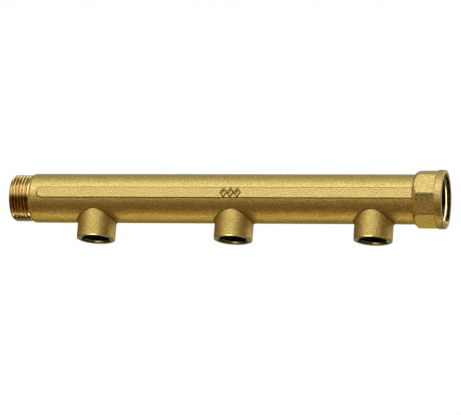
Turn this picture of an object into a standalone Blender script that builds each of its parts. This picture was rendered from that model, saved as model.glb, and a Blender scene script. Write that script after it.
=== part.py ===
"""Brass distribution manifold bar: a tube with three outlets, a male end and a female end.

The bar lies along X. The male end is at -X and the female end at +X, the outlets point down (-Z), and
the raised strip is on the front (-Y). The origin is at mid-length, on the plane of the outlet mouths.
All lengths are in metres and all angles in radians.
"""

import math

import bmesh
import bpy

COLLECTION_NAME = "distribution_manifold"
CUTTER_COLLECTION_NAME = "cutters"

# Layout along the bar.
OUTLET_NAMES = ("left", "middle", "right")
OUTLET_SPACING = 0.1
OVERALL_LENGTH = 0.3125
MALE_FACE_X = -OVERALL_LENGTH / 2
FEMALE_FACE_X = OVERALL_LENGTH / 2
RIGHT_OUTLET_TO_FEMALE_FACE = 0.05
RIGHT_OUTLET_X = FEMALE_FACE_X - RIGHT_OUTLET_TO_FEMALE_FACE
AXIS_HEIGHT = 0.03

# Tube.
TUBE_RADIUS = 0.0174
MAIN_BORE_RADIUS = 0.013

# Raised strip along the front of the tube. Its face is flat, so its edges stand higher than its middle.
STRIP_HALF_WIDTH = 0.0038
STRIP_HEIGHT = 0.0001
STRIP_DEPTH = 0.003
STRIP_LEFT_INSET = 0.0215
STRIP_CORNER_RADIUS = 0.0028

# G 1 pipe thread, outside on the male end and inside on the female end.
G1_MAJOR_RADIUS = 0.0166245
G1_MINOR_RADIUS = 0.0151455
G1_PITCH = 0.002309

# G 1/2 pipe thread, inside the outlets: the hole is at the thread's minor radius.
G12_MINOR_RADIUS = 0.0093155

# Male end.
MALE_THREAD_LENGTH = 0.0129
MALE_TIP_RADIUS = 0.0149
MALE_CHAMFER_LENGTH = 0.0017
RELIEF_WIDTH = 0.0006
RELIEF_RADIUS = 0.0158
SHOULDER_START_RADIUS = 0.0166
SHOULDER_LENGTH = 0.0028

# Outlets.
BOSS_RADIUS = 0.0137
BOSS_EDGE_BREAK = 0.0003
BOSS_MOUTH_RADIUS = 0.011

# Female end: a collar with eight flats and a round rim.
COLLAR_LENGTH = 0.0213
COLLAR_SHOULDER_LENGTH = 0.005
COLLAR_ACROSS_FLATS = 0.0385
COLLAR_CORNER_RADIUS = 0.0028
COLLAR_FLATS = 8
COLLAR_BLANK_RADIUS = 0.0208
RIM_RADIUS = 0.02063
RIM_LENGTH = 0.0054
RIM_CHAMFER = 0.0003
COUNTERBORE_RADIUS = 0.0176
COUNTERBORE_DEPTH = 0.0025
SOCKET_THREAD_DEPTH = 0.0168

# Building.
MAIN_STEPS = 64
THREAD_POINTS_PER_PITCH = 4
SHOULDER_POINTS = 6
STRIP_CORNER_STEPS = 4
COLLAR_ROWS = 8
MATING_GAP = 0.0001
ROW_GAP = 0.00002
CUT_MARGIN = 0.004
MERGE_DISTANCE = 0.000001
SMOOTH_ANGLE = math.radians(30)

CAST_BRASS_COLOR = (0.66, 0.51, 0.18, 1.0)
CAST_BRASS_ROUGHNESS = 0.5
MACHINED_BRASS_COLOR = (0.64, 0.50, 0.20, 1.0)
MACHINED_BRASS_ROUGHNESS = 0.2


def clear_scene():
    """Remove every object that the file starts with."""
    for old in list(bpy.data.objects):
        bpy.data.objects.remove(old, do_unlink=True)


def new_collection(name):
    """Make a collection under the scene's own."""
    collection = bpy.data.collections.new(name)
    bpy.context.scene.collection.children.link(collection)
    return collection


def brass(name, color, roughness):
    """A plain brass material."""
    material = bpy.data.materials.new(name)
    material.use_nodes = True
    shader = material.node_tree.nodes["Principled BSDF"]
    shader.inputs["Base Color"].default_value = color
    shader.inputs["Metallic"].default_value = 1.0
    shader.inputs["Roughness"].default_value = roughness
    return material


def freeze(shape):
    """Apply a shape's modifiers by giving it its evaluated mesh."""
    bpy.context.view_layer.update()
    graph = bpy.context.evaluated_depsgraph_get()
    mesh = bpy.data.meshes.new_from_object(shape.evaluated_get(graph))
    shape.modifiers.clear()
    shape.data = mesh
    shape.data.name = shape.name


def turned(name, profile, collection):
    """Turn a closed (radius, height) profile about Z. Its outer side runs from the top down."""
    mesh = bpy.data.meshes.new(name)
    points = [(radius, 0.0, height) for radius, height in profile]
    edges = [(i, (i + 1) % len(points)) for i in range(len(points))]
    mesh.from_pydata(points, edges, [])
    shape = bpy.data.objects.new(name, mesh)
    collection.objects.link(shape)
    screw = shape.modifiers.new("turn", "SCREW")
    screw.axis = "Z"
    screw.steps = MAIN_STEPS
    screw.render_steps = MAIN_STEPS
    screw.use_merge_vertices = True
    screw.merge_threshold = MERGE_DISTANCE
    freeze(shape)
    return shape


def lay_along_bar(shape, x):
    """Lay a turned shape on the bar's axis, its +Z towards +X, with its origin at x."""
    shape.rotation_euler = (0.0, math.pi / 2, 0.0)
    shape.location = (x, 0.0, AXIS_HEIGHT)


def cylinder(name, radius, length, collection):
    """An upright closed cylinder centred on its origin, used as a cutter."""
    mesh = bpy.data.meshes.new(name)
    shape_mesh = bmesh.new()
    bmesh.ops.create_cone(
        shape_mesh, cap_ends=True, segments=MAIN_STEPS, radius1=radius, radius2=radius, depth=length
    )
    shape_mesh.to_mesh(mesh)
    shape_mesh.free()
    shape = bpy.data.objects.new(name, mesh)
    collection.objects.link(shape)
    return shape


def hide_cutter(cutter):
    """Keep a cutter out of renders and show it as a wire."""
    cutter.hide_render = True
    cutter.display_type = "WIRE"


def combine(shape, other, operation):
    """Cut a shape with another, or join the other to it."""
    hide_cutter(other)
    modifier = shape.modifiers.new(other.name, "BOOLEAN")
    modifier.operation = operation
    modifier.solver = "EXACT"
    modifier.object = other


def shade(shape, material):
    """Give a part its material and smooth its round faces."""
    shape.data.materials.clear()
    shape.data.materials.append(material)
    shape.data.shade_smooth()
    shape.data.set_sharp_from_angle(angle=SMOOTH_ANGLE)


def thread_ridges(top):
    """Ridges of the outside thread from the top down: root, flank, crest, flank for each turn."""
    ridges = []
    mean = (G1_MAJOR_RADIUS + G1_MINOR_RADIUS) / 2
    half = (G1_MAJOR_RADIUS - G1_MINOR_RADIUS) / 2
    chamfer_slope = (G1_MAJOR_RADIUS - MALE_TIP_RADIUS) / MALE_CHAMFER_LENGTH
    turns = int(top / G1_PITCH)
    for step in range(turns * THREAD_POINTS_PER_PITCH + 1):
        phase = 2 * math.pi * step / THREAD_POINTS_PER_PITCH
        height = top - step * G1_PITCH / THREAD_POINTS_PER_PITCH
        chamfer_radius = MALE_TIP_RADIUS + chamfer_slope * height
        ridges.append((min(mean - half * math.cos(phase), chamfer_radius), height))
    return ridges


def male_end_profile():
    """Half section of the male end, measured from its end face upwards."""
    length = MALE_THREAD_LENGTH + RELIEF_WIDTH + SHOULDER_LENGTH
    shoulder_rise = TUBE_RADIUS - SHOULDER_START_RADIUS
    shoulder_bottom = MALE_THREAD_LENGTH + RELIEF_WIDTH
    shoulder = []
    for step in range(SHOULDER_POINTS + 1):
        angle = (math.pi / 2) * step / SHOULDER_POINTS
        radius = SHOULDER_START_RADIUS + shoulder_rise * math.cos(angle)
        shoulder.append((radius, length - SHOULDER_LENGTH * math.sin(angle)))
    return [
        *shoulder,
        (RELIEF_RADIUS, shoulder_bottom),
        (RELIEF_RADIUS, MALE_THREAD_LENGTH + RELIEF_WIDTH / 4),
        *thread_ridges(MALE_THREAD_LENGTH),
        (MALE_TIP_RADIUS, 0.0),
        (MAIN_BORE_RADIUS, 0.0),
        (MAIN_BORE_RADIUS, length),
    ]


def make_male_thread_end(collection, material):
    """The turned end with its outside thread and the shoulder that leads to the tube."""
    shape = turned("male_thread_end", male_end_profile(), collection)
    lay_along_bar(shape, MALE_FACE_X)
    shade(shape, material)


def tube_left_x():
    """Where the tube's node starts, just past the male end's shoulder."""
    return MALE_FACE_X + MALE_THREAD_LENGTH + RELIEF_WIDTH + SHOULDER_LENGTH + MATING_GAP


def tube_right_x():
    """Where the tube's node ends, just short of the collar."""
    return FEMALE_FACE_X - COLLAR_LENGTH - MATING_GAP


def outlet_positions():
    """Name and x of each outlet, from left to right."""
    count = len(OUTLET_NAMES)
    return [
        (name, RIGHT_OUTLET_X - OUTLET_SPACING * (count - 1 - i)) for i, name in enumerate(OUTLET_NAMES)
    ]


def make_strip(collection):
    """The raised strip: a bar with round corners at its left end, sunk into the tube's wall."""
    left = MALE_FACE_X + STRIP_LEFT_INSET
    right = tube_right_x()
    bar = bmesh.new()
    bmesh.ops.create_cube(bar, size=1.0)
    bmesh.ops.scale(bar, vec=(right - left, STRIP_DEPTH, 2 * STRIP_HALF_WIDTH), verts=bar.verts)
    end_edges = [
        edge
        for edge in bar.edges
        if all(vertex.co.x < 0 for vertex in edge.verts)
        and abs(edge.verts[0].co.z - edge.verts[1].co.z) < MERGE_DISTANCE
    ]
    bmesh.ops.bevel(
        bar, geom=end_edges, offset=STRIP_CORNER_RADIUS, segments=STRIP_CORNER_STEPS, affect="EDGES", profile=0.5
    )
    mesh = bpy.data.meshes.new("strip")
    bar.to_mesh(mesh)
    bar.free()
    shape = bpy.data.objects.new("strip", mesh)
    front = -TUBE_RADIUS - STRIP_HEIGHT
    shape.location = ((left + right) / 2, front + STRIP_DEPTH / 2, AXIS_HEIGHT)
    collection.objects.link(shape)
    return shape


def make_main_tube(collection, cutters, material):
    """The tube with its bore, its raised strip and a branch hole over each outlet."""
    left = tube_left_x()
    length = tube_right_x() - left
    profile = [
        (TUBE_RADIUS, length),
        (TUBE_RADIUS, 0.0),
        (MAIN_BORE_RADIUS, 0.0),
        (MAIN_BORE_RADIUS, length),
    ]
    shape = turned("main_tube", profile, collection)
    lay_along_bar(shape, left)
    combine(shape, make_strip(cutters), "UNION")
    for name, x in outlet_positions():
        cutter = cylinder(f"branch_hole_{name}", G12_MINOR_RADIUS, AXIS_HEIGHT, cutters)
        cutter.location = (x, 0.0, AXIS_HEIGHT / 2)
        combine(shape, cutter, "DIFFERENCE")
    shade(shape, material)


def boss_profile():
    """Half section of an outlet from its mouth up to the height of the tube's axis."""
    mouth_depth = BOSS_MOUTH_RADIUS - G12_MINOR_RADIUS
    return [
        (BOSS_RADIUS, AXIS_HEIGHT),
        (BOSS_RADIUS, BOSS_EDGE_BREAK),
        (BOSS_RADIUS - BOSS_EDGE_BREAK, 0.0),
        (BOSS_MOUTH_RADIUS, 0.0),
        (G12_MINOR_RADIUS, mouth_depth),
        (G12_MINOR_RADIUS, AXIS_HEIGHT),
    ]


def make_outlet_boss(name, x, collection, cutters, material):
    """One outlet, cut at the top to sit on the tube."""
    shape = turned(f"outlet_boss_{name}", boss_profile(), collection)
    shape.location = (x, 0.0, 0.0)
    saddle = cylinder(f"saddle_{name}", TUBE_RADIUS + MATING_GAP, 2 * BOSS_RADIUS + CUT_MARGIN, cutters)
    lay_along_bar(saddle, x)
    combine(shape, saddle, "DIFFERENCE")
    shade(shape, material)


def flats_radius(angle):
    """Radius of the eight-sided collar at an angle, with a corner at angle zero and round corners."""
    sector = 2 * math.pi / COLLAR_FLATS
    apothem = COLLAR_ACROSS_FLATS / 2
    from_flat = (angle % sector) - sector / 2
    from_corner = sector / 2 - abs(from_flat)
    corner_center = (apothem - COLLAR_CORNER_RADIUS) / math.cos(sector / 2)
    flat_end = math.atan2(corner_center * math.sin(sector / 2), apothem)
    if abs(from_flat) <= flat_end:
        return apothem / math.cos(from_flat)
    across = corner_center * math.sin(from_corner)
    along = corner_center * math.cos(from_corner)
    return along + math.sqrt(COLLAR_CORNER_RADIUS ** 2 - across ** 2)


def mill_flats(mesh, bottom, top):
    """Mill the eight flats on a turned blank between two heights."""
    for vertex in mesh.vertices:
        place = vertex.co
        radius = math.hypot(place.x, place.y)
        if radius < TUBE_RADIUS or not bottom <= place.z <= top:
            continue
        limit = min(radius, flats_radius(math.atan2(place.y, place.x)))
        place.x *= limit / radius
        place.y *= limit / radius


def socket_profile():
    """Half section of the collar, measured from the tube towards its end face."""
    rim_bottom = COLLAR_LENGTH - RIM_LENGTH
    rise = COLLAR_BLANK_RADIUS - TUBE_RADIUS
    shoulder = []
    for row in range(COLLAR_ROWS + 1):
        part = row / COLLAR_ROWS
        shoulder.append((COLLAR_BLANK_RADIUS - rise * part ** 2, COLLAR_SHOULDER_LENGTH * (1 - part)))
    lead_in = COUNTERBORE_RADIUS - G1_MINOR_RADIUS
    thread_bottom = COLLAR_LENGTH - SOCKET_THREAD_DEPTH
    counterbore_bottom = COLLAR_LENGTH - COUNTERBORE_DEPTH
    return [
        (RIM_RADIUS - RIM_CHAMFER, COLLAR_LENGTH),
        (RIM_RADIUS, COLLAR_LENGTH - RIM_CHAMFER),
        (RIM_RADIUS, rim_bottom),
        (COLLAR_BLANK_RADIUS, rim_bottom - ROW_GAP),
        *shoulder,
        (MAIN_BORE_RADIUS, 0.0),
        (MAIN_BORE_RADIUS, thread_bottom),
        (G1_MINOR_RADIUS, thread_bottom),
        (G1_MINOR_RADIUS, counterbore_bottom - lead_in),
        (COUNTERBORE_RADIUS, counterbore_bottom),
        (COUNTERBORE_RADIUS, COLLAR_LENGTH),
    ]


def make_female_socket(collection, material):
    """The collar with eight flats, its round rim and the hole for the inside thread."""
    shape = turned("female_socket", socket_profile(), collection)
    mill_flats(shape.data, 0.0, COLLAR_LENGTH - RIM_LENGTH - ROW_GAP / 2)
    lay_along_bar(shape, FEMALE_FACE_X - COLLAR_LENGTH)
    shade(shape, material)


def main():
    """Build the whole manifold."""
    clear_scene()
    collection = new_collection(COLLECTION_NAME)
    cutters = new_collection(CUTTER_COLLECTION_NAME)
    cast = brass("cast_brass", CAST_BRASS_COLOR, CAST_BRASS_ROUGHNESS)
    machined = brass("machined_brass", MACHINED_BRASS_COLOR, MACHINED_BRASS_ROUGHNESS)
    make_male_thread_end(collection, machined)
    make_main_tube(collection, cutters, cast)
    for name, x in outlet_positions():
        make_outlet_boss(name, x, collection, cutters, cast)
    make_female_socket(collection, cast)


main()
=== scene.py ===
"""Looks of the brass distribution manifold: one continuous cast skin, machined threads and studio light.

Every piece is a closed mesh of rings. Neighbouring pieces share the points of their common outline, so the
cast skin runs on from one piece to the next without a seam. Lengths are in metres, angles in radians.
"""

import math
from typing import NamedTuple

import bmesh
import bpy
import numpy as np
from mathutils import Matrix, Vector, noise


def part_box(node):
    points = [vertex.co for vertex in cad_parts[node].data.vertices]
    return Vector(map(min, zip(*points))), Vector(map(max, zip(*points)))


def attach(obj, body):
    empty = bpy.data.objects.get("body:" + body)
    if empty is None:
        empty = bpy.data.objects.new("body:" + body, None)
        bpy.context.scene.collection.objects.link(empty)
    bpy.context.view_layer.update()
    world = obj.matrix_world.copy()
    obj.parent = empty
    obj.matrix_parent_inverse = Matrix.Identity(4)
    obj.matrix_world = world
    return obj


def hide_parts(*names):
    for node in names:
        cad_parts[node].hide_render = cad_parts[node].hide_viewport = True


MM = 0.001

# Places and radii that the CAD frame gives.
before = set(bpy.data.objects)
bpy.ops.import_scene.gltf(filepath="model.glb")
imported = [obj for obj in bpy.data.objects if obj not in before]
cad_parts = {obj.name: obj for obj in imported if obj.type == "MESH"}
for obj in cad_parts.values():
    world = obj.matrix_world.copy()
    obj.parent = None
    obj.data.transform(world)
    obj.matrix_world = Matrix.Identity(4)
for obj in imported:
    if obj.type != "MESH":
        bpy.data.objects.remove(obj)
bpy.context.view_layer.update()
TUBE_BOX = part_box("main_tube")
MALE_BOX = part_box("male_thread_end")
SOCKET_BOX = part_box("female_socket")
OUTLETS = ("left", "middle", "right")
BOSS_BOXES = {name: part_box(f"outlet_boss_{name}") for name in OUTLETS}
AXIS_Z = (TUBE_BOX[0].z + TUBE_BOX[1].z) / 2
TUBE_RADIUS = (TUBE_BOX[1].z - TUBE_BOX[0].z) / 2
RIM_RADIUS = (SOCKET_BOX[1].z - SOCKET_BOX[0].z) / 2
BOSS_RADIUS = (BOSS_BOXES["middle"][1].x - BOSS_BOXES["middle"][0].x) / 2
MOUTH_Z = BOSS_BOXES["middle"][0].z - AXIS_Z
MALE_FACE_X = MALE_BOX[0].x
TUBE_LEFT_X = (MALE_BOX[1].x + TUBE_BOX[0].x) / 2
TUBE_RIGHT_X = (TUBE_BOX[1].x + SOCKET_BOX[0].x) / 2
SOCKET_FACE_X = SOCKET_BOX[1].x

# Bores and pipe threads. A thread is flat over a share of each half pitch at its roots, and its flanks take
# most of the rest.
MAIN_BORE_RADIUS = 13 * MM
G1_MAJOR, G1_MINOR, G1_PITCH = 16.6245 * MM, 15.1455 * MM, 2.309 * MM
G12_MAJOR, G12_MINOR, G12_PITCH = 10.4775 * MM, 9.3155 * MM, 1.814 * MM
ROWS_PER_PITCH = 12
OUTSIDE_THREAD_PHASE = 0.62
THREAD_ROOT_SHARE = 0.06
THREAD_FLANK_SHARE = 0.88

# Small distances from an edge to the rings beside it, which keep it crisp.
EDGE_HAIR = 0.02 * MM
EDGE_FINE = 0.05 * MM
EDGE_GAP = 0.1 * MM
EDGE_WIDE = 0.2 * MM

# Male end. Its tip is chamfered at 45 degrees.
THREAD_END_X = MALE_FACE_X + 13.6 * MM
TIP_RADIUS = 14.9 * MM
RUN_OUT_LENGTH = 0.2 * MM
RUN_OUT_SLOPE = 1.2
RELIEF_WIDTH = 0.8 * MM
RELIEF_RADIUS = 15.8 * MM
SHOULDER_X = THREAD_END_X + RELIEF_WIDTH
SHOULDER_RADIUS = 16.65 * MM
SHOULDER_LAND = 0.5 * MM
SHOULDER_EDGE = 0.12 * MM
MALE_FACE_OUTER_RADIUS = 14.8 * MM
MALE_FACE_INNER_RADIUS = 13.35 * MM
MALE_BORE_EDGE = 0.3 * MM
MALE_BORE_START = 0.8 * MM

# Raised strip with its generic mark of three lozenges.
STRIP_LEFT_X = MALE_FACE_X + 21.5 * MM
STRIP_MIDDLE = -0.125 * MM
STRIP_HALF_WIDTH = 3.425 * MM
STRIP_CORNER = 2.8 * MM
STRIP_FRONT = 0.1 * MM
STRIP_FLANK = 0.3 * MM
GROOVE_HALF_WIDTH = 0.22 * MM
GROOVE_WALL = 0.1 * MM
FLAT_LEAST_COSINE = 0.5
LOWER_GROOVE_DEPTH = 1.0 * MM
UPPER_GROOVE_DEPTH = 0.42 * MM
LOZENGE_COUNT = 3
LOZENGE_SPACING = 4.9 * MM
LOZENGE_HALF_LENGTH = 2.4 * MM
LOZENGE_HALF_HEIGHT = 3.3 * MM
LOZENGE_RISE = 0.55 * MM
LOZENGE_CUT = 0.95 * MM
# Shares of a lozenge's size: its flanks, its border, and half the width of the groove round it.
LOZENGE_FLANK = 0.12
LOZENGE_BORDER = 0.30
LOZENGE_GROOVE = 0.1

# Collar. It rises from the tube with a steep root, and a short blend leads from its flats to its round rim.
FLATS = 8
FLATS_APOTHEM = 19.25 * MM
FLATS_CORNER = 2.8 * MM
FLATS_TURN = math.radians(1.4)
COLLAR_BLANK_RADIUS = 20.8 * MM
COLLAR_SHOULDER = 5 * MM
COLLAR_ROOT_START = 0.25
COLLAR_ROOT_SHARE = 0.16
FLATS_START_GAP = 0.5 * MM
FLATS_END_GAP = 0.4 * MM
RIM_X = SOCKET_FACE_X - 5.4 * MM
RIM_BLEND_START = 0.3 * MM
RIM_BLEND_LENGTH = 0.75 * MM
RIM_CROWN_START = 0.7 * MM
RIM_CROWN_FROM = 1.1 * MM
RIM_CROWN_TO = 0.15 * MM

# Turned band at the rim's end: its length, its depth under the rim, the lengths of its edge and of the part
# before its first ring, and the length from its last ring to the end face.
TURNED_BAND = 1.9 * MM
BAND_DEPTH = 0.06 * MM
BAND_EDGE = 0.12 * MM
BAND_FROM = 0.3 * MM
BAND_TO = 0.9 * MM
# Rounded edge of the end face: two places before the face, with their depths under the rim, and its width.
FACE_EDGE_OUTER = (0.5 * MM, 0.12 * MM)
FACE_EDGE_INNER = (0.2 * MM, 0.22 * MM)
FACE_EDGE_WIDTH = 0.45 * MM

# Inside of the collar.
COUNTERBORE_RADIUS = 18.1 * MM
COUNTERBORE_FLOOR_X = SOCKET_FACE_X - 2.65 * MM
LEAD_IN_RADIUS = 16.65 * MM
LEAD_IN_SLOPE = 1.73
LEAD_IN_DEPTH = 0.38 * MM
SOCKET_THREAD_BOTTOM_X = SOCKET_FACE_X - 15.6 * MM
SOCKET_RELIEF_END = 1.1 * MM
SOCKET_STEP = 1.2 * MM
SOCKET_BORE_START = 2 * MM

# Outlets. Depths and heights are over the plane of the mouth.
FILLET_RADIUS = 1.5 * MM
OUTLET_MOUTH_RADIUS = 11.2 * MM
OUTLET_LEAD_IN_DEPTH = 0.75 * MM
OUTLET_WALL_END = 0.4 * MM
OUTLET_CHAMFER_HEIGHT = 0.22 * MM
OUTLET_CHAMFER_WIDTH = 0.45 * MM
OUTLET_FACE_EDGE = 0.6 * MM
OUTLET_THREAD_TOP = 13 * MM
OUTLET_BORE_START = 13.2 * MM
# Where the rings of a face that two pieces share lie, from its bore to its skin.
SHARED_PLACES = (0.33, 0.66)

# Points round the tube: angle zero points down, a quarter turn is the front. Each outlet sits in a window
# of the skin, and the strip lies beyond the window's front edge.
WINDOW_ANGLE = math.radians(72)
WINDOW_HALF_LENGTH = 18 * MM
STRIP_FROM, STRIP_TO = math.radians(73.5), math.radians(103.5)
WINDOW_STEPS = 96
GAP_STEPS = 2
STRIP_STEPS = 120
BACK_STEPS = 123

# Columns along the tube.
WINDOW_COLUMNS = 49
MARK_HALF_LENGTH = 9 * MM
MARK_COLUMNS = 91
MARK_SIDE_COLUMNS = 13
STRIP_END_BEFORE = 0.6 * MM
STRIP_END_AFTER = 0.3 * MM
STRIP_END_STEP = 0.15 * MM
TUBE_END_STEP = 0.8 * MM
TUBE_STEP = 1.0 * MM

# Numbers of rings in the stretches of the pieces.
SHOULDER_RINGS = 14
RELIEF_WALL_RINGS = 5
RELIEF_FLOOR_RINGS = 4
MALE_FACE_RINGS = 5
MALE_BORE_RINGS = 24
COLLAR_SHOULDER_RINGS = 30
FLATS_RINGS = 18
RIM_BLEND_RINGS = 9
RIM_CROWN_RINGS = 6
BAND_RINGS = 4
SOCKET_FACE_RINGS = 8
COUNTERBORE_RINGS = 8
LEAD_IN_RINGS = 6
SOCKET_RELIEF_RINGS = 4
SOCKET_STEP_RINGS = 5
SOCKET_BORE_RINGS = 8
FILLET_RINGS = 10
OUTLET_WALL_RINGS = 26
OUTLET_FACE_RINGS = 6
OUTLET_BORE_RINGS = 8
PATCH_RINGS = 12

# Joining of the patches of a piece, and the edges that stay sharp.
MERGE_DISTANCE = 0.0005 * MM
SHARP_ANGLE = math.radians(24)

# Cast skin's unevenness, and where it fades out towards the turned ends.
CAST_WAVE = 0.035 * MM
CAST_WAVE_SCALE = 1 / (6 * MM)
CAST_WAVE_FROM = 12 * MM
CAST_WAVE_FADE = 4 * MM
# Without a seed of its own, this noise would be another one on each run.
CAST_WAVE_SEED = 7

# Finishes, in the order of each piece's material slots. TAPPED and BORE are painted dark with the shade
# inside threads and bores.
CAST, THREAD, FACED, POLISHED, TAPPED, BORE = range(6)

# Camera, as the photograph was taken: from slightly right of the front and from below.
CAMERA_AZIMUTH = math.radians(14.3825)
CAMERA_ELEVATION = math.radians(-15.0228)
CAMERA_ROLL = math.radians(4.0234)
CAMERA_DISTANCE = 2.29606
CAMERA_LENS = 254.92
CAMERA_SENSOR = 36.0
CAMERA_AIM_RIGHT = -3.793 * MM
CAMERA_AIM_UP = -6.051 * MM
CAMERA_CLIP_END = 100


# ---------------------------------------------------------------- rings and meshes


def ring_angles():
    """Angles of the points round the tube, from the window's front edge on round to it again."""
    stretches = (
        (-WINDOW_ANGLE, WINDOW_ANGLE, WINDOW_STEPS),
        (WINDOW_ANGLE, STRIP_FROM, GAP_STEPS),
        (STRIP_FROM, STRIP_TO, STRIP_STEPS),
        (STRIP_TO, 2 * math.pi - WINDOW_ANGLE, BACK_STEPS),
    )
    return np.concatenate([np.linspace(start, end, steps + 1)[:-1] for start, end, steps in stretches])


ANGLES = ring_angles()


def smooth_step(value):
    """An s-shaped step from 0 to 1."""
    value = np.clip(value, 0.0, 1.0)
    return value * value * (3 - 2 * value)


def ring(x, radius):
    """A ring of points round the tube's axis. The radius is one number or one for each angle."""
    radius = np.broadcast_to(radius, ANGLES.shape)
    points = np.empty((len(ANGLES), 3))
    points[:, 0] = x
    points[:, 1] = -radius * np.sin(ANGLES)
    points[:, 2] = AXIS_Z - radius * np.cos(ANGLES)
    return points


class Surface:
    """Collects patches of quads, each with the index of its material, and joins their common points."""

    def __init__(self):
        self.points = []
        self.faces = []
        self.finishes = []
        self.count = 0

    def add_grid(self, rows, finishes, wrap_columns=True, wrap_rows=False):
        """Add a grid of rows of points. finishes gives the material of each band between two rows."""
        rows = np.asarray(rows)
        row_count, column_count = rows.shape[:2]
        indices = np.arange(row_count * column_count).reshape(row_count, column_count) + self.count
        following = np.roll(indices, -1, axis=1) if wrap_columns else indices[:, 1:]
        current = indices if wrap_columns else indices[:, :-1]
        bands = row_count if wrap_rows else row_count - 1
        for band in range(bands):
            after = (band + 1) % row_count
            quads = np.stack([current[band], following[band], following[after], current[after]], axis=1)
            self.faces.append(quads)
            self.finishes.append(np.full(len(quads), finishes[band], dtype=np.int32))
        self.points.append(rows.reshape(-1, 3))
        self.count += row_count * column_count

    def mesh(self, name):
        """The joined mesh, with its faces pointing out."""
        mesh = bpy.data.meshes.new(name)
        faces = np.concatenate(self.faces)
        mesh.from_pydata(np.concatenate(self.points).tolist(), [], faces.tolist())
        mesh.polygons.foreach_set("material_index", np.concatenate(self.finishes))
        shape = bmesh.new()
        shape.from_mesh(mesh)
        bmesh.ops.remove_doubles(shape, verts=shape.verts, dist=MERGE_DISTANCE)
        bmesh.ops.recalc_face_normals(shape, faces=shape.faces)
        shape.to_mesh(mesh)
        shape.free()
        return mesh


class Rings:
    """Collects the rings of a closed piece, each with the finish of the band that follows it."""

    def __init__(self):
        self.rows = []
        self.finishes = []

    def add(self, points, finish):
        """Add a ring of points."""
        self.rows.append(points)
        self.finishes.append(finish)

    def put(self, x, radius, finish):
        """Add a ring round the tube's axis."""
        self.add(ring(x, radius), finish)

    def run(self, places, radius, finish):
        """Add rings of one radius at several places along the tube."""
        for x in places:
            self.put(x, radius, finish)

    def face(self, x, radii, finish):
        """Add rings of several radii in one plane."""
        for radius in radii:
            self.put(x, radius, finish)

    def surface(self):
        """The closed surface of all the rings."""
        surface = Surface()
        surface.add_grid(self.rows, self.finishes, wrap_rows=True)
        return surface


def roughen(mesh):
    """Give the cast faces the slight waviness of a casting, fading out towards the turned ends."""
    noise.seed_set(CAST_WAVE_SEED)
    cast_points = np.zeros(len(mesh.vertices), bool)
    machined_points = np.zeros(len(mesh.vertices), bool)
    for face in mesh.polygons:
        chosen = cast_points if face.material_index == CAST else machined_points
        chosen[list(face.vertices)] = True
    for vertex in mesh.vertices:
        if not cast_points[vertex.index] or machined_points[vertex.index]:
            continue
        from_male = vertex.co.x - MALE_FACE_X - CAST_WAVE_FROM
        from_socket = SOCKET_FACE_X - TURNED_BAND - vertex.co.x
        amount = CAST_WAVE * float(smooth_step(min(from_male, from_socket) / CAST_WAVE_FADE))
        vertex.co += amount * noise.noise_vector(vertex.co * CAST_WAVE_SCALE)


def add_piece(name, surface, materials, replaced):
    """Make a piece from a surface, ride it on the part's one body and hide the CAD node that it takes the
    place of.
    """
    mesh = surface.mesh(name)
    roughen(mesh)
    for material in materials:
        mesh.materials.append(material)
    mesh.shade_smooth()
    mesh.set_sharp_from_angle(angle=SHARP_ANGLE)
    piece = bpy.data.objects.new(name, mesh)
    bpy.context.scene.collection.objects.link(piece)
    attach(piece, "root")
    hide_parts(replaced)
    return piece


def thread_height(phase):
    """Height of a pipe thread's rounded profile, 0 at its roots and 1 at its crests."""
    ramp = np.abs(2 * (phase % 1.0) - 1)
    return smooth_step((ramp - THREAD_ROOT_SHARE) / THREAD_FLANK_SHARE)


# ---------------------------------------------------------------- male end


def male_thread_radius(x):
    """Radius of the outside thread at each angle, with its chamfered tip and its run-out."""
    phase = x / G1_PITCH + ANGLES / (2 * math.pi) + OUTSIDE_THREAD_PHASE
    thread = G1_MINOR + (G1_MAJOR - G1_MINOR) * thread_height(phase)
    chamfer = TIP_RADIUS + (x - MALE_FACE_X)
    run_out = RELIEF_RADIUS + (THREAD_END_X - RUN_OUT_LENGTH - x) * RUN_OUT_SLOPE
    return np.minimum(np.minimum(thread, chamfer), np.maximum(run_out, RELIEF_RADIUS))


def male_shoulder(rings):
    """The rounded shoulder at the tube's end and the relief groove behind the thread."""
    length = SHOULDER_X + SHOULDER_LAND - TUBE_LEFT_X
    for t in np.linspace(0, 1, SHOULDER_RINGS):
        rise = (TUBE_RADIUS - SHOULDER_RADIUS) * smooth_step(1 - t)
        rings.put(TUBE_LEFT_X + length * t, SHOULDER_RADIUS + rise, CAST)
    rings.put(SHOULDER_X + SHOULDER_EDGE, SHOULDER_RADIUS, CAST)
    rings.put(SHOULDER_X, SHOULDER_RADIUS - SHOULDER_EDGE, CAST)
    wall = np.linspace(SHOULDER_RADIUS - EDGE_WIDE, RELIEF_RADIUS, RELIEF_WALL_RINGS)
    rings.face(SHOULDER_X - EDGE_HAIR, wall, THREAD)
    floor = np.linspace(SHOULDER_X - EDGE_GAP, THREAD_END_X + EDGE_FINE, RELIEF_FLOOR_RINGS)
    rings.run(floor, RELIEF_RADIUS, THREAD)


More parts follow.
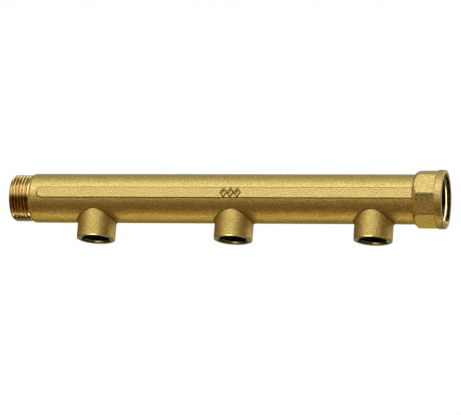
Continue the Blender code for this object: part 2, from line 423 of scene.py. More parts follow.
def male_end():
    """The male end: rounded shoulder, relief groove, thread, end face and bore."""
    rings = Rings()
    male_shoulder(rings)
    steps = int((THREAD_END_X - MALE_FACE_X) / G1_PITCH * ROWS_PER_PITCH)
    for x in np.linspace(THREAD_END_X, MALE_FACE_X, steps):
        rings.put(x, male_thread_radius(x), THREAD)
    face = np.linspace(MALE_FACE_OUTER_RADIUS, MALE_FACE_INNER_RADIUS, MALE_FACE_RINGS)
    rings.face(MALE_FACE_X, face, FACED)
    rings.put(MALE_FACE_X + MALE_BORE_EDGE, MAIN_BORE_RADIUS, BORE)
    bore = np.linspace(MALE_FACE_X + MALE_BORE_START, TUBE_LEFT_X, MALE_BORE_RINGS)
    rings.run(bore, MAIN_BORE_RADIUS, BORE)
    return rings.surface()


# ---------------------------------------------------------------- female end


def flats_radius():
    """Radius of the eight-sided collar at each angle, with a corner at the bottom and round corners."""
    sector = 2 * math.pi / FLATS
    from_flat = (ANGLES + FLATS_TURN) % sector - sector / 2
    from_corner = sector / 2 - np.abs(from_flat)
    corner_center = (FLATS_APOTHEM - FLATS_CORNER) / math.cos(sector / 2)
    flat_end = math.atan2(corner_center * math.sin(sector / 2), FLATS_APOTHEM)
    flat = FLATS_APOTHEM / np.cos(from_flat)
    across = np.minimum(corner_center * np.sin(from_corner), FLATS_CORNER)
    corner = corner_center * np.cos(from_corner) + np.sqrt(FLATS_CORNER ** 2 - across ** 2)
    return np.where(np.abs(from_flat) <= flat_end, flat, corner)


def socket_thread_radius(x):
    """Radius of the inside thread at each angle, opened out by its lead-in chamfer."""
    height = thread_height(x / G1_PITCH + ANGLES / (2 * math.pi))
    lead_in = LEAD_IN_RADIUS - (COUNTERBORE_FLOOR_X - x) * LEAD_IN_SLOPE
    return np.maximum(G1_MINOR + (G1_MAJOR - G1_MINOR) * (1 - height), lead_in)


def collar(rings):
    """The collar's concave root, shoulder and flats, and the blend to its rim."""
    flats = flats_radius()
    rise = COLLAR_BLANK_RADIUS - TUBE_RADIUS
    for t in np.linspace(0, 1, COLLAR_SHOULDER_RINGS):
        root = smooth_step(COLLAR_ROOT_START + t / COLLAR_ROOT_SHARE)
        blank = TUBE_RADIUS + rise * (1 - (1 - t) ** 2) * root
        rings.put(TUBE_RIGHT_X + COLLAR_SHOULDER * t, np.minimum(blank if t else TUBE_RADIUS, flats), CAST)
    flats_start = TUBE_RIGHT_X + COLLAR_SHOULDER + FLATS_START_GAP
    rings.run(np.linspace(flats_start, RIM_X - FLATS_END_GAP, FLATS_RINGS), flats, CAST)
    for t in np.linspace(0, 1, RIM_BLEND_RINGS):
        blend = smooth_step(t)
        radius = flats * (1 - blend) + (RIM_RADIUS - BAND_DEPTH) * blend
        rings.put(RIM_X - RIM_BLEND_START + RIM_BLEND_LENGTH * t, radius, CAST)


def rim(rings):
    """The collar's round rim, its turned band and the edge of its end face."""
    band_x = SOCKET_FACE_X - TURNED_BAND
    band_radius = RIM_RADIUS - BAND_DEPTH
    rings.put(RIM_X + RIM_CROWN_START, RIM_RADIUS, CAST)
    rings.run(np.linspace(RIM_X + RIM_CROWN_FROM, band_x - RIM_CROWN_TO, RIM_CROWN_RINGS), RIM_RADIUS, CAST)
    rings.put(band_x, RIM_RADIUS - EDGE_HAIR, CAST)
    rings.put(band_x + BAND_EDGE, band_radius, CAST)
    rings.run(np.linspace(band_x + BAND_FROM, SOCKET_FACE_X - BAND_TO, BAND_RINGS), band_radius, CAST)
    for (back, depth), finish in ((FACE_EDGE_OUTER, CAST), (FACE_EDGE_INNER, FACED)):
        rings.put(SOCKET_FACE_X - back, RIM_RADIUS - depth, finish)
    face = np.linspace(RIM_RADIUS - FACE_EDGE_WIDTH, COUNTERBORE_RADIUS + EDGE_GAP, SOCKET_FACE_RINGS)
    rings.face(SOCKET_FACE_X, face, FACED)


def counterbore(rings):
    """The counterbore's wall and floor, and the lead-in of the thread behind it."""
    rings.put(SOCKET_FACE_X - EDGE_WIDE, COUNTERBORE_RADIUS, THREAD)
    wall = np.linspace(SOCKET_FACE_X - 2 * EDGE_WIDE, COUNTERBORE_FLOOR_X + EDGE_FINE, COUNTERBORE_RINGS)
    rings.run(wall, COUNTERBORE_RADIUS, THREAD)
    rings.face(COUNTERBORE_FLOOR_X, (COUNTERBORE_RADIUS - EDGE_GAP, LEAD_IN_RADIUS + EDGE_FINE), TAPPED)
    start, end = COUNTERBORE_FLOOR_X - EDGE_HAIR, COUNTERBORE_FLOOR_X - LEAD_IN_DEPTH
    for x in np.linspace(start, end, LEAD_IN_RINGS):
        rings.put(x, socket_thread_radius(x), POLISHED)


def socket_thread(rings):
    """The inside thread, the relief at its bottom, and the step down to the bore."""
    start, bottom = COUNTERBORE_FLOOR_X - LEAD_IN_DEPTH, SOCKET_THREAD_BOTTOM_X
    steps = int((start - bottom) / G1_PITCH * ROWS_PER_PITCH)
    for x in np.linspace(start - EDGE_GAP, bottom, steps):
        rings.put(x, socket_thread_radius(x), TAPPED)
    relief = np.linspace(bottom - EDGE_GAP, bottom - SOCKET_RELIEF_END, SOCKET_RELIEF_RINGS)
    rings.run(relief, G1_MINOR, TAPPED)
    step = np.linspace(G1_MINOR - EDGE_WIDE, MAIN_BORE_RADIUS, SOCKET_STEP_RINGS)
    rings.face(bottom - SOCKET_STEP, step, BORE)
    bore = np.linspace(bottom - SOCKET_BORE_START, TUBE_RIGHT_X, SOCKET_BORE_RINGS)
    rings.run(bore, MAIN_BORE_RADIUS, BORE)


def socket():
    """The female end: collar, rim, counterbore, thread and bore."""
    rings = Rings()
    collar(rings)
    rim(rings)
    counterbore(rings)
    socket_thread(rings)
    return rings.surface()


# ---------------------------------------------------------------- outlets


def outlet_x(name):
    """Place of an outlet's axis along the tube."""
    return (BOSS_BOXES[name][0].x + BOSS_BOXES[name][1].x) / 2


def outlet_columns(name):
    """Distances from the outlet's axis of the skin's columns inside its window, finer under the mark."""
    if name != "middle":
        return np.linspace(-WINDOW_HALF_LENGTH, WINDOW_HALF_LENGTH, WINDOW_COLUMNS)
    side = np.linspace(-WINDOW_HALF_LENGTH, -MARK_HALF_LENGTH, MARK_SIDE_COLUMNS)
    mark = np.linspace(-MARK_HALF_LENGTH, MARK_HALF_LENGTH, MARK_COLUMNS)
    return np.concatenate([side[:-1], mark, -side[::-1][1:]])


def window_outline(name):
    """Unrolled (x, angle) points round the outlet's window, counterclockwise from its front right corner."""
    columns = outlet_columns(name)
    angles = ANGLES[: WINDOW_STEPS + 1]
    high, low = WINDOW_ANGLE, -WINDOW_ANGLE
    right = WINDOW_HALF_LENGTH
    sides = [
        [(x, high) for x in columns[:0:-1]],
        [(-right, angle) for angle in angles[:0:-1]],
        [(x, low) for x in columns[:-1]],
        [(right, angle) for angle in angles[:-1]],
    ]
    return np.array([point for side in sides for point in side])


def plan_angles(outline):
    """Angle round the outlet's axis of each outline point, seen from below through the plan view."""
    across = -TUBE_RADIUS * np.sin(outline[:, 1])
    return np.arctan2(across, outline[:, 0])


def fillet_rows(plan, count):
    """Rolling-ball fillet between tube and outlet: points from the tube (first row) to the outlet (last)."""
    ball = FILLET_RADIUS
    center_x = (BOSS_RADIUS + ball) * np.cos(plan)
    center_y = (BOSS_RADIUS + ball) * np.sin(plan)
    center_z = -np.sqrt((TUBE_RADIUS + ball) ** 2 - center_y ** 2)
    centers = np.stack([center_x, center_y, center_z], axis=1)
    zero = np.zeros_like(plan)
    to_tube = -np.stack([zero, center_y, center_z], axis=1) / (TUBE_RADIUS + ball)
    to_boss = -np.stack([np.cos(plan), np.sin(plan), zero], axis=1)
    turn = np.arccos(np.sum(to_tube * to_boss, axis=1))[:, None]
    rows = []
    for t in np.linspace(0, 1, count):
        direction = (np.sin((1 - t) * turn) * to_tube + np.sin(t * turn) * to_boss) / np.sin(turn)
        rows.append(centers + ball * direction)
    return rows


def bore_junction(plan):
    """Where the outlet's bore meets the main bore."""
    points = np.stack([np.cos(plan), np.sin(plan), np.zeros_like(plan)], axis=1) * G12_MINOR
    points[:, 2] = -np.sqrt(MAIN_BORE_RADIUS ** 2 - points[:, 1] ** 2)
    return points


def placed(points, center_x):
    """Move points from the outlet's own frame, on the tube's axis, to their place."""
    return points + np.array([center_x, 0.0, AXIS_Z])


def outlet_thread_radius(plan, z):
    """Radius of the outlet's inside thread."""
    height = thread_height(z / G12_PITCH - plan / (2 * math.pi))
    lead_in = OUTLET_MOUTH_RADIUS - (z - MOUTH_Z) * LEAD_IN_SLOPE
    return np.maximum(G12_MINOR + (G12_MAJOR - G12_MINOR) * (1 - height), lead_in)


class OutletRings(Rings):
    """Rings round an outlet's axis. Heights are over the tube's axis."""

    def __init__(self, name):
        super().__init__()
        self.plan = plan_angles(window_outline(name))
        self.center_x = outlet_x(name)

    def shift(self, points, finish):
        """Add a ring of points given in the outlet's own frame."""
        self.add(placed(points, self.center_x), finish)

    def put(self, z, radius, finish):
        """Add a ring round the outlet's axis."""
        points = np.empty((len(self.plan), 3))
        points[:, 0] = radius * np.cos(self.plan)
        points[:, 1] = radius * np.sin(self.plan)
        points[:, 2] = z
        self.shift(points, finish)


def outlet_outside(rings, fillet):
    """The fillet, the wall, the chamfered edge and the flat face round the mouth."""
    for points in fillet:
        rings.shift(points, CAST)
    wall_top, wall_bottom = fillet[-1][:, 2], MOUTH_Z + OUTLET_WALL_END
    for t in np.linspace(0, 1, OUTLET_WALL_RINGS)[1:]:
        rings.put(wall_top * (1 - t) + wall_bottom * t, BOSS_RADIUS, CAST)
    rings.put(MOUTH_Z + OUTLET_CHAMFER_HEIGHT, BOSS_RADIUS, POLISHED)
    rings.put(MOUTH_Z, BOSS_RADIUS - OUTLET_CHAMFER_WIDTH, FACED)
    start, end = BOSS_RADIUS - OUTLET_FACE_EDGE, OUTLET_MOUTH_RADIUS + EDGE_GAP
    rings.face(MOUTH_Z, np.linspace(start, end, OUTLET_FACE_RINGS), FACED)


def outlet_inside(rings, fillet):
    """The thread with its lead-in, the bore, and the face shared with the tube."""
    plan = rings.plan
    lead_in_end = MOUTH_Z + OUTLET_LEAD_IN_DEPTH
    thread_top = MOUTH_Z + OUTLET_THREAD_TOP
    steps = int((thread_top - MOUTH_Z) / G12_PITCH * ROWS_PER_PITCH)
    lead_in = np.linspace(MOUTH_Z + EDGE_FINE, lead_in_end, LEAD_IN_RINGS)
    thread = np.linspace(lead_in_end + EDGE_GAP, thread_top, steps)
    for z in (*lead_in, *thread):
        rings.put(z, outlet_thread_radius(plan, z), TAPPED)
    junction = bore_junction(plan)
    bore_start = MOUTH_Z + OUTLET_BORE_START
    for t in np.linspace(0, 1, OUTLET_BORE_RINGS):
        rings.put(bore_start * (1 - t) + junction[:, 2] * t, G12_MINOR, BORE)
    for t in SHARED_PLACES:
        rings.shift(junction * (1 - t) + fillet[0] * t, CAST)


def outlet(name):
    """One outlet: fillet, wall, mouth, thread and bore, closed by the face it shares with the tube."""
    rings = OutletRings(name)
    fillet = fillet_rows(rings.plan, FILLET_RINGS)
    outlet_outside(rings, fillet)
    outlet_inside(rings, fillet)
    return rings.surface()


# ---------------------------------------------------------------- tube


def strip_height(x):
    """Height of the strip and its mark over the tube at each angle, for one ring."""
    along = TUBE_RADIUS * (ANGLES - math.pi / 2) - STRIP_MIDDLE
    inner_x = STRIP_LEFT_X + STRIP_CORNER
    beyond_x = max(inner_x - x, 0.0)
    beyond_s = np.maximum(np.abs(along) - (STRIP_HALF_WIDTH - STRIP_CORNER), 0.0)
    inside = STRIP_CORNER - np.hypot(beyond_x, beyond_s)
    if x >= inner_x:
        inside = STRIP_HALF_WIDTH - np.abs(along)
    flat = (TUBE_RADIUS + STRIP_FRONT) / np.maximum(np.sin(ANGLES), FLAT_LEAST_COSINE) - TUBE_RADIUS
    from_groove = np.abs(inside + STRIP_FLANK / 2 + GROOVE_HALF_WIDTH)
    depth = np.where(along < 0, LOWER_GROOVE_DEPTH, UPPER_GROOVE_DEPTH)
    groove = depth * np.clip((GROOVE_HALF_WIDTH + GROOVE_WALL / 2 - from_groove) / GROOVE_WALL, 0.0, 1.0)
    return flat * smooth_step(inside / STRIP_FLANK + 0.5) - groove + mark_height(x, along)


def mark_height(x, along):
    """Height of the three lozenges over the strip."""
    center_x = outlet_x("middle")
    height = np.zeros_like(along)
    for index in range(LOZENGE_COUNT):
        offset = x - center_x - (index - (LOZENGE_COUNT - 1) / 2) * LOZENGE_SPACING
        inside = 1 - abs(offset) / LOZENGE_HALF_LENGTH - np.abs(along) / LOZENGE_HALF_HEIGHT
        from_groove = np.abs(inside + LOZENGE_GROOVE)
        height += LOZENGE_RISE * smooth_step(inside / LOZENGE_FLANK)
        height -= (LOZENGE_RISE + LOZENGE_CUT) * smooth_step((inside - LOZENGE_BORDER) / LOZENGE_FLANK)
        height -= LOZENGE_CUT * np.clip(1 - from_groove / LOZENGE_GROOVE, 0.0, 1.0)
    return height


def skin_columns():
    """The tube's x columns, and for each outlet the index of the first column of its window."""
    columns = [TUBE_LEFT_X]
    starts = {}

    def run(to, step):
        """Add columns up to a place, about a step apart."""
        count = max(1, round((to - columns[-1]) / step))
        columns.extend(np.linspace(columns[-1], to, count + 1)[1:])

    run(STRIP_LEFT_X - STRIP_END_BEFORE, TUBE_END_STEP)
    run(STRIP_LEFT_X + STRIP_CORNER + STRIP_END_AFTER, STRIP_END_STEP)
    for name in OUTLETS:
        center_x = outlet_x(name)
        run(center_x - WINDOW_HALF_LENGTH, TUBE_STEP)
        starts[name] = len(columns) - 1
        columns.extend(center_x + outlet_columns(name)[1:])
    run(TUBE_RIGHT_X, TUBE_STEP)
    return np.array(columns), starts


def windowed_skin(surface, columns, starts, radius_at):
    """A skin round the tube, left open at each outlet's window."""
    rows = np.array([ring(x, radius_at(x)) for x in columns])
    full = [CAST] * (len(columns) - 1)
    closed_part = np.concatenate([rows[:, WINDOW_STEPS:], rows[:, :1]], axis=1)
    surface.add_grid(closed_part, full, wrap_columns=False)
    edge = 0
    for name in OUTLETS:
        first = starts[name]
        surface.add_grid(rows[edge : first + 1, : WINDOW_STEPS + 1], full, wrap_columns=False)
        edge = first + len(outlet_columns(name)) - 1
    surface.add_grid(rows[edge:, : WINDOW_STEPS + 1], full, wrap_columns=False)


def window_patch(surface, name, hole, radius):
    """The skin between an outlet's hole and its window's outline, on a cylinder of the given radius."""
    outline = window_outline(name)
    center_x = outlet_x(name)
    hole_angles = np.arctan2(-hole[:, 1], -hole[:, 2])
    inner = np.stack([hole[:, 0], hole_angles], axis=1)
    rows = []
    for t in np.linspace(0, 1, PATCH_RINGS):
        x, angle = (inner * (1 - t) + outline * t).T
        points = np.stack([x, -radius * np.sin(angle), -radius * np.cos(angle)], axis=1)
        rows.append(placed(points, center_x))
    surface.add_grid(rows, [CAST] * (len(rows) - 1))


def tube():
    """The tube's outer skin, its bore, the faces it shares with the outlets and its two end faces."""
    columns, starts = skin_columns()
    surface = Surface()
    windowed_skin(surface, columns, starts, lambda x: TUBE_RADIUS + strip_height(x))
    windowed_skin(surface, columns, starts, lambda x: MAIN_BORE_RADIUS)
    for name in OUTLETS:
        plan = plan_angles(window_outline(name))
        center_x = outlet_x(name)
        outer = fillet_rows(plan, 2)[0]
        inner = bore_junction(plan)
        window_patch(surface, name, outer, TUBE_RADIUS)
        window_patch(surface, name, inner, MAIN_BORE_RADIUS)
        shared = [placed(inner * (1 - t) + outer * t, center_x) for t in (0, *SHARED_PLACES, 1)]
        surface.add_grid(shared, [CAST] * (len(shared) - 1))
    for x in (columns[0], columns[-1]):
        outer_radius = TUBE_RADIUS + strip_height(x)
        surface.add_grid([ring(x, MAIN_BORE_RADIUS), ring(x, outer_radius)], [CAST])
    return surface


# ---------------------------------------------------------------- materials

# Cast brass: a grain of dark, middling and light spots, satin patches, and coarse and fine dimples. Scales
# are those of the noise, per metre.
GRAIN_SCALE = 1200
GRAIN_COLORS = ((0.34, (0.47, 0.33, 0.07, 1)), (0.50, (0.66, 0.505, 0.168, 1)), (0.66, (0.84, 0.68, 0.28, 1)))
CAST_METALLIC = 0.86
CAST_ROUGHNESS = (0.41, 0.50)
SATIN_SCALE = 120
COARSE_DIMPLE_SCALE, COARSE_DIMPLE_DEPTH = 1100, 0.28 * MM
FINE_DIMPLE_SCALE, FINE_DIMPLE_DEPTH = 2600, 0.05 * MM

# Turned brass: its tool lines and its stains.
TOOL_LINE_SCALE, TOOL_LINE_DEPTH = 4200, 0.012 * MM
STAIN_SCALE = 160
STAIN_FROM, STAIN_TO = 0.3, 0.7
THREAD_COLORS = ((0.82, 0.60, 0.25), (0.95, 0.77, 0.37))
# The threads cut inside the socket and the outlets are painted dark with the shade inside them.
TAPPED_PAINTED_SHADE_COLORS = ((0.14, 0.11, 0.05), (0.20, 0.17, 0.08))
FACED_COLORS = ((0.44, 0.40, 0.19), (0.54, 0.50, 0.26))
POLISHED_COLORS = ((0.80, 0.71, 0.42), (0.88, 0.80, 0.52))
# The bores are painted dark with the shade deep inside them.
BORE_PAINTED_SHADE_COLORS = ((0.13, 0.09, 0.04), (0.19, 0.13, 0.06))
# How dark the painted shade in a thread's roots is.
ROOT_SHADE = 0.5
# Each turned finish: its name, its colours, the range of its roughness, and a thread's root and crest radii.
TURNED_FINISHES = (
    ("thread", THREAD_COLORS, (0.08, 0.18), (G1_MINOR, G1_MAJOR)),
    ("faced", FACED_COLORS, (0.34, 0.48), None),
    ("polished", POLISHED_COLORS, (0.10, 0.18), None),
    ("tapped_painted_shade", TAPPED_PAINTED_SHADE_COLORS, (0.10, 0.18), None),
    ("bore", BORE_PAINTED_SHADE_COLORS, (0.30, 0.45), None),
)

# The underside of the casting is painted browner than its top, as warm light from below: its tint, and the
# depths below the axis over which the tint comes in. The outlets are less brown, getting less of this painted
# light: their tint goes over it, and fades out round their feet.
UNDERSIDE_PAINTED_LIGHT_TINT = (1.27, 1.14, 0.80)
UNDERSIDE_PAINTED_LIGHT_DEPTHS = (2.0 * MM, 7.0 * MM)
OUTLET_PAINTED_LIGHT_TINT = (0.85, 0.92, 1.08)
OUTLET_PAINTED_LIGHT_MARGINS = (0.2 * MM, 2.2 * MM)
# The crease round an outlet's foot is painted with shade: how dark, and over which distances from the
# outlet's wall the dark comes in and goes out.
CREASE_PAINTED_SHADE = 0.5
CREASE_PAINTED_SHADE_MARGINS = ((-0.1 * MM, 0.15 * MM), (0.9 * MM, 1.6 * MM))

# Sockets of a colour's Mix node, which has several of the same name.
MIX_FIRST, MIX_SECOND, MIX_RESULT = 6, 7, 2


class Nodes:
    """Short calls for building a material's nodes."""

    def __init__(self, name):
        self.material = bpy.data.materials.new(name)
        self.material.use_nodes = True
        self.tree = self.material.node_tree
        self.shader = self.tree.nodes["Principled BSDF"]

    def add(self, kind, **settings):
        """A node of a kind. Settings whose names are inputs set those, and the rest set properties."""
        node = self.tree.nodes.new(kind)
        for key, value in settings.items():
            label = key.replace("_", " ").title()
            if label in node.inputs:
                node.inputs[label].default_value = value
            else:
                setattr(node, key, value)
        return node

    def link(self, source, target):
        """Link an output socket to an input socket."""
        self.tree.links.new(source, target)

    def noise(self, vector, scale, detail=2.0, roughness=0.5):
        """A noise texture's factor."""
        node = self.add("ShaderNodeTexNoise", scale=scale, detail=detail, roughness=roughness)
        self.link(vector, node.inputs["Vector"])
        return node.outputs["Fac"]

    def ramp(self, factor, stops):
        """A colour ramp over a factor. stops are (place, colour)."""
        node = self.add("ShaderNodeValToRGB")
        while len(node.color_ramp.elements) < len(stops):
            node.color_ramp.elements.new(1.0)
        for element, (place, color) in zip(node.color_ramp.elements, stops):
            element.position = place
            element.color = color
        self.link(factor, node.inputs["Fac"])
        return node.outputs["Color"]

    def scaled(self, color, factor):
        """A colour times a factor."""
        node = self.add("ShaderNodeVectorMath", operation="SCALE")
        self.link(color, node.inputs[0])
        self.link(factor, node.inputs["Scale"])
        return node.outputs[0]

    def tinted(self, color, tint, factor):
        """The colour multiplied by the tint as far as the factor says."""
        node = self.add("ShaderNodeMix", data_type="RGBA", blend_type="MULTIPLY", clamp_result=False)
        self.link(factor, node.inputs["Factor"])
        self.link(color, node.inputs[MIX_FIRST])
        node.inputs[MIX_SECOND].default_value = (*tint, 1)
        return node.outputs[MIX_RESULT]

    def map_range(self, factor, low, high, start=0.0, end=1.0):
        """A factor between start and end mapped to a range."""
        node = self.add("ShaderNodeMapRange")
        node.inputs["From Min"].default_value = start
        node.inputs["From Max"].default_value = end
        node.inputs["To Min"].default_value = low
        node.inputs["To Max"].default_value = high
        self.link(factor, node.inputs["Value"])
        return node.outputs["Result"]

    def bump(self, height, distance, normal=None):
        """A bump of a height map, over another bump if its normal is given."""
        node = self.add("ShaderNodeBump", strength=1.0, distance=distance)
        self.link(height, node.inputs["Height"])
        if normal is not None:
            self.link(normal, node.inputs["Normal"])
        return node.outputs["Normal"]

    def place(self):
        """Object coordinates, in metres."""
        return self.add("ShaderNodeTexCoord").outputs["Object"]

    def from_axis(self, place, axis_point, along):
        """A place's length along an axis, whose index is along, and its distance from the axis."""
        shifted = self.add("ShaderNodeVectorMath", operation="SUBTRACT")
        self.link(place, shifted.inputs[0])
        shifted.inputs[1].default_value = axis_point
        flat = self.add("ShaderNodeVectorMath", operation="MULTIPLY")
        self.link(shifted.outputs[0], flat.inputs[0])
        flat.inputs[1].default_value = [0.0 if index == along else 1.0 for index in range(3)]
        radius = self.add("ShaderNodeVectorMath", operation="LENGTH")
        self.link(flat.outputs[0], radius.inputs[0])
        parts = self.add("ShaderNodeSeparateXYZ")
        self.link(shifted.outputs[0], parts.inputs[0])
        return parts.outputs[along], radius.outputs["Value"]


def outlet_painted_light_and_shade(nodes, color, place, outlet_axis):
    """The colour with the outlet's own tint of painted light and the painted shade in the crease round its
    foot.
    """
    radius = nodes.from_axis(place, outlet_axis, 2)[1]
    start, end = (BOSS_RADIUS + margin for margin in OUTLET_PAINTED_LIGHT_MARGINS)
    # Painted light: the outlet gets less of the warm underside tint, fading out round its foot.
    color = nodes.tinted(color, OUTLET_PAINTED_LIGHT_TINT, nodes.map_range(radius, 1.0, 0.0, start, end))
    # Painted shade in the crease round the outlet's foot.
    for (near, far), shade in zip(CREASE_PAINTED_SHADE_MARGINS, (CREASE_PAINTED_SHADE, 1 / CREASE_PAINTED_SHADE)):
        painted_crease_shade = nodes.map_range(radius, 1.0, shade, BOSS_RADIUS + near, BOSS_RADIUS + far)
        color = nodes.scaled(color, painted_crease_shade)
    return color


def cast_brass(name, outlet_axis=None):
    """Shot-blasted cast brass: satin, with fine dimples and an underside painted browner with warm light.

    outlet_axis is a point on the axis of the outlet that the brass belongs to.
    """
    nodes = Nodes(name)
    place = nodes.place()
    color = nodes.ramp(nodes.noise(place, GRAIN_SCALE, roughness=0.6), GRAIN_COLORS)
    # Painted warm light on the underside: the colour turns browner below the axis.
    height = nodes.add("ShaderNodeSeparateXYZ")
    nodes.link(place, height.inputs[0])
    start, end = (AXIS_Z - depth for depth in UNDERSIDE_PAINTED_LIGHT_DEPTHS)
    color = nodes.tinted(color, UNDERSIDE_PAINTED_LIGHT_TINT, nodes.map_range(height.outputs["Z"], 0.0, 1.0, start, end))
    if outlet_axis:
        color = outlet_painted_light_and_shade(nodes, color, place, outlet_axis)
    nodes.link(color, nodes.shader.inputs["Base Color"])
    nodes.shader.distribution = "GGX"
    nodes.shader.inputs["Metallic"].default_value = CAST_METALLIC
    satin = nodes.map_range(nodes.noise(place, SATIN_SCALE), *CAST_ROUGHNESS)
    nodes.link(satin, nodes.shader.inputs["Roughness"])
    coarse = nodes.bump(nodes.noise(place, COARSE_DIMPLE_SCALE, detail=1), COARSE_DIMPLE_DEPTH)
    fine = nodes.bump(nodes.noise(place, FINE_DIMPLE_SCALE, detail=1), FINE_DIMPLE_DEPTH, coarse)
    nodes.link(fine, nodes.shader.inputs["Normal"])
    return nodes.material


def machined_brass(name, axis_point, along, colors, roughness, roots=None):
    """Turned brass with fine tool lines round an axis. along is the axis's index.

    colors are its darkest and its lightest, and roughness is the range of its polish. roots gives the radii
    between which a thread lightens from its roots, darkened with painted shade, to its crests.
    """
    nodes = Nodes(name)
    place = nodes.place()
    length, radius = nodes.from_axis(place, axis_point, along)
    joined = nodes.add("ShaderNodeCombineXYZ")
    nodes.link(length, joined.inputs[0])
    nodes.link(radius, joined.inputs[1])
    lines = nodes.noise(joined.outputs[0], TOOL_LINE_SCALE)
    stain = nodes.noise(place, STAIN_SCALE)
    color = nodes.ramp(stain, [(STAIN_FROM, (*colors[0], 1)), (STAIN_TO, (*colors[1], 1))])
    # Painted shade in a thread's roots, lightening towards its crests.
    if roots:
        color = nodes.scaled(color, nodes.map_range(radius, ROOT_SHADE, 1.0, *roots))
    nodes.link(color, nodes.shader.inputs["Base Color"])
    nodes.shader.inputs["Metallic"].default_value = 1.0
    nodes.link(nodes.map_range(lines, *roughness), nodes.shader.inputs["Roughness"])
    nodes.link(nodes.bump(lines, TOOL_LINE_DEPTH), nodes.shader.inputs["Normal"])
    return nodes.material


# ---------------------------------------------------------------- floor, light and camera

FLOOR_HALF_WIDTH = 14.0
FLOOR_Z = -2.6
FLOOR_COLOR = (0.9, 0.9, 0.93, 1)
FLOOR_ROUGHNESS = 0.9
FLOOR_GLOW = 0.32


def plain_material(name, color, roughness, glow):
    """A plain material for the stage, which also glows faintly to be as white as paper."""
    nodes = Nodes(name)
    nodes.shader.inputs["Base Color"].default_value = color
    nodes.shader.inputs["Roughness"].default_value = roughness
    nodes.shader.inputs["Emission Color"].default_value = color
    nodes.shader.inputs["Emission Strength"].default_value = glow
    return nodes.material


def make_floor():
    """A plain pale floor, far enough below that the camera can look up at the part."""
    mesh = bpy.data.meshes.new("floor")
    signs = ((-1, -1), (1, -1), (1, 1), (-1, 1))
    corners = [(FLOOR_HALF_WIDTH * x, FLOOR_HALF_WIDTH * y, FLOOR_Z) for x, y in signs]
    mesh.from_pydata(corners, [], [(0, 1, 2, 3)])
    mesh.materials.append(plain_material("pale_floor", FLOOR_COLOR, FLOOR_ROUGHNESS, FLOOR_GLOW))
    floor = bpy.data.objects.new("floor", mesh)
    bpy.context.scene.collection.objects.link(floor)
    floor.visible_glossy = False
    floor.visible_diffuse = False


class Card(NamedTuple):
    """A soft-edged card of light round the part.

    Angles are in degrees, and the azimuth runs from the front to the right.
    """

    azimuth: float
    half_width: float
    elevation: float
    half_height: float
    softness: float
    light: tuple


CARDS = (
    # A faint light from everywhere.
    Card(0, 200, 0, 100, 1, (0.04, 0.028, 0.014)),
    # The large softbox above the camera, with weaker light at both its sides.
    Card(-11, 41, 33, 28, 14, (1.92, 1.90, 1.98)),
    Card(-12, 68, 42, 9, 8, (0.5, 0.48, 0.4)),
    # The ceiling.
    Card(0, 200, 80, 30, 22, (0.36, 0.33, 0.22)),
    # The white paper behind the part, bright where it curves up from the table.
    Card(158, 50, 22, 26, 22, (0.55, 0.55, 0.50)),
    Card(194, 22, -16, 12, 10, (0.38, 0.41, 0.27)),
    # Warm light thrown back from the table below, and the bright spot under the part.
    Card(190, 95, -76, 24, 20, (0.38, 0.36, 0.26)),
    Card(216, 18, -68, 9, 6, (3.5, 3.6, 2.9)),
    # Dim warm reflections of the table at both sides.
    Card(55, 35, -35, 34, 20, (0.20, 0.08, 0.0)),
    Card(-88, 30, -35, 34, 20, (0.26, 0.10, 0.0)),
    # A tall softbox at the right, behind the part, and its light on the paper.
    Card(112, 11, 14, 30, 7, (2.1, 2.05, 1.9)),
    Card(136, 16, 38, 9, 8, (1.6, 1.55, 1.4)),
    # Weak warm reflectors at the right and at the left.
    Card(72, 28, 16, 22, 14, (0.08, 0.02, 0.0)),
    Card(-90, 30, 10, 30, 20, (0.28, 0.14, 0.02)),
)


class Sky:
    """Short calls for building the world's nodes."""

    def __init__(self, tree):
        self.tree = tree
        tree.nodes.clear()

    def add(self, kind, **settings):
        """A node of a kind, with some properties set."""
        node = self.tree.nodes.new(kind)
        for key, value in settings.items():
            setattr(node, key, value)
        return node

    def link(self, source, target):
        """Link an output socket to an input socket."""
        self.tree.links.new(source, target)

    def math(self, operation, *values):
        """A math node's value. Each value is a socket or a number."""
        node = self.add("ShaderNodeMath", operation=operation)
        for socket, value in zip(node.inputs, values):
            if isinstance(value, (int, float)):
                socket.default_value = value
            else:
                self.link(value, socket)
        return node.outputs[0]

    def fade(self, distance, half, softness):
        """1 inside half the card's size, fading softly to 0 outside it."""
        node = self.add("ShaderNodeMapRange", interpolation_type="SMOOTHSTEP")
        node.inputs["From Min"].default_value = half + softness
        node.inputs["From Max"].default_value = half - softness
        self.link(distance, node.inputs["Value"])
        return node.outputs["Result"]

    def tinted(self, weight, light):
        """A light's colour times a weight."""
        node = self.add("ShaderNodeVectorMath", operation="SCALE")
        node.inputs[0].default_value = light
        self.link(weight, node.inputs["Scale"])
        return node.outputs[0]

    def sum(self, first, second):
        """The sum of two colours."""
        node = self.add("ShaderNodeVectorMath", operation="ADD")
        self.link(first, node.inputs[0])
        self.link(second, node.inputs[1])
        return node.outputs[0]


def card_light(sky, azimuth, elevation, card):
    """The light of one soft-edged card, as a colour socket."""
    from_middle = sky.math("WRAP", sky.math("SUBTRACT", azimuth, card.azimuth), 180.0, -180.0)
    across = sky.fade(sky.math("ABSOLUTE", from_middle), card.half_width, card.softness)
    from_level = sky.math("ABSOLUTE", sky.math("SUBTRACT", elevation, card.elevation))
    upright = sky.fade(from_level, card.half_height, card.softness)
    return sky.tinted(sky.math("MULTIPLY", across, upright), card.light)


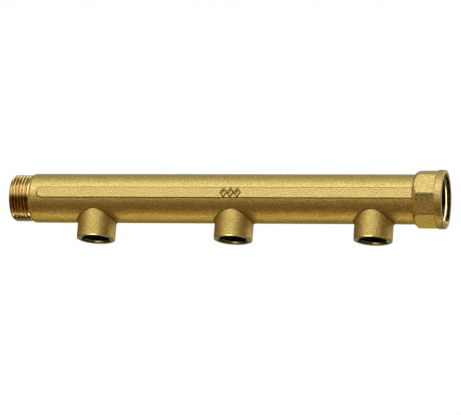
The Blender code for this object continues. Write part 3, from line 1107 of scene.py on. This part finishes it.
def make_world():
    """A white surround for the camera, and for reflections a dim studio with soft cards round it."""
    world = bpy.data.worlds.new("studio")
    bpy.context.scene.world = world
    world.use_nodes = True
    sky = Sky(world.node_tree)
    parts = sky.add("ShaderNodeSeparateXYZ")
    sky.link(sky.add("ShaderNodeTexCoord").outputs["Generated"], parts.inputs[0])
    forward = sky.math("MULTIPLY", parts.outputs["Y"], -1.0)
    azimuth = sky.math("DEGREES", sky.math("ARCTAN2", parts.outputs["X"], forward))
    elevation = sky.math("DEGREES", sky.math("ARCSINE", parts.outputs["Z"]))
    total = None
    for card in CARDS:
        light = card_light(sky, azimuth, elevation, card)
        total = light if total is None else sky.sum(total, light)
    surround = sky.add("ShaderNodeBackground")
    sky.link(total, surround.inputs["Color"])
    white = sky.add("ShaderNodeBackground")
    white.inputs["Color"].default_value = (1, 1, 1, 1)
    mix = sky.add("ShaderNodeMixShader")
    sky.link(sky.add("ShaderNodeLightPath").outputs["Is Camera Ray"], mix.inputs[0])
    sky.link(surround.outputs[0], mix.inputs[1])
    sky.link(white.outputs[0], mix.inputs[2])
    sky.link(mix.outputs[0], sky.add("ShaderNodeOutputWorld").inputs["Surface"])


def make_camera():
    """The camera, turned by its roll about the line of sight."""
    back = Vector(
        (
            math.sin(CAMERA_AZIMUTH) * math.cos(CAMERA_ELEVATION),
            -math.cos(CAMERA_AZIMUTH) * math.cos(CAMERA_ELEVATION),
            math.sin(CAMERA_ELEVATION),
        )
    )
    level_right = (-back).cross(Vector((0, 0, 1))).normalized()
    level_up = back.cross(level_right)
    turn = Matrix.Rotation(CAMERA_ROLL, 3, back)
    right, up = turn @ level_right, turn @ level_up
    target = Vector((outlet_x("middle"), 0, AXIS_Z)) + right * CAMERA_AIM_RIGHT + up * CAMERA_AIM_UP
    data = bpy.data.cameras.new("camera")
    data.lens = CAMERA_LENS
    data.sensor_width = CAMERA_SENSOR
    data.clip_end = CAMERA_CLIP_END
    camera = bpy.data.objects.new("camera", data)
    facing = Matrix((right, up, back)).transposed().to_4x4()
    camera.matrix_world = Matrix.Translation(target + back * CAMERA_DISTANCE) @ facing
    bpy.context.scene.collection.objects.link(camera)
    bpy.context.scene.camera = camera


# ---------------------------------------------------------------- the scene


def finishes_round(name, axis_point, along):
    """The machined finishes of one piece, whose tool lines run round its own axis, in slot order."""
    return [
        machined_brass(f"{name}_{finish}", axis_point, along, colors, roughness, roots)
        for finish, colors, roughness, roots in TURNED_FINISHES
    ]


def main():
    """Build every piece, the stage, the lights and the camera."""
    cast = cast_brass("cast_brass")
    along_tube = [cast, *finishes_round("tube", (0, 0, AXIS_Z), 0)]
    add_piece("male_end_turned", male_end(), along_tube, "male_thread_end")
    add_piece("tube_cast", tube(), along_tube, "main_tube")
    for name in OUTLETS:
        outlet_cast = cast_brass(f"outlet_{name}_cast", (outlet_x(name), 0, 0))
        down_outlet = [outlet_cast, *finishes_round(f"outlet_{name}", (outlet_x(name), 0, 0), 2)]
        add_piece(f"outlet_{name}_cast", outlet(name), down_outlet, f"outlet_boss_{name}")
    add_piece("socket_cast", socket(), along_tube, "female_socket")
    make_floor()
    make_world()
    make_camera()
    bpy.context.scene.view_settings.view_transform = "Standard"


main()
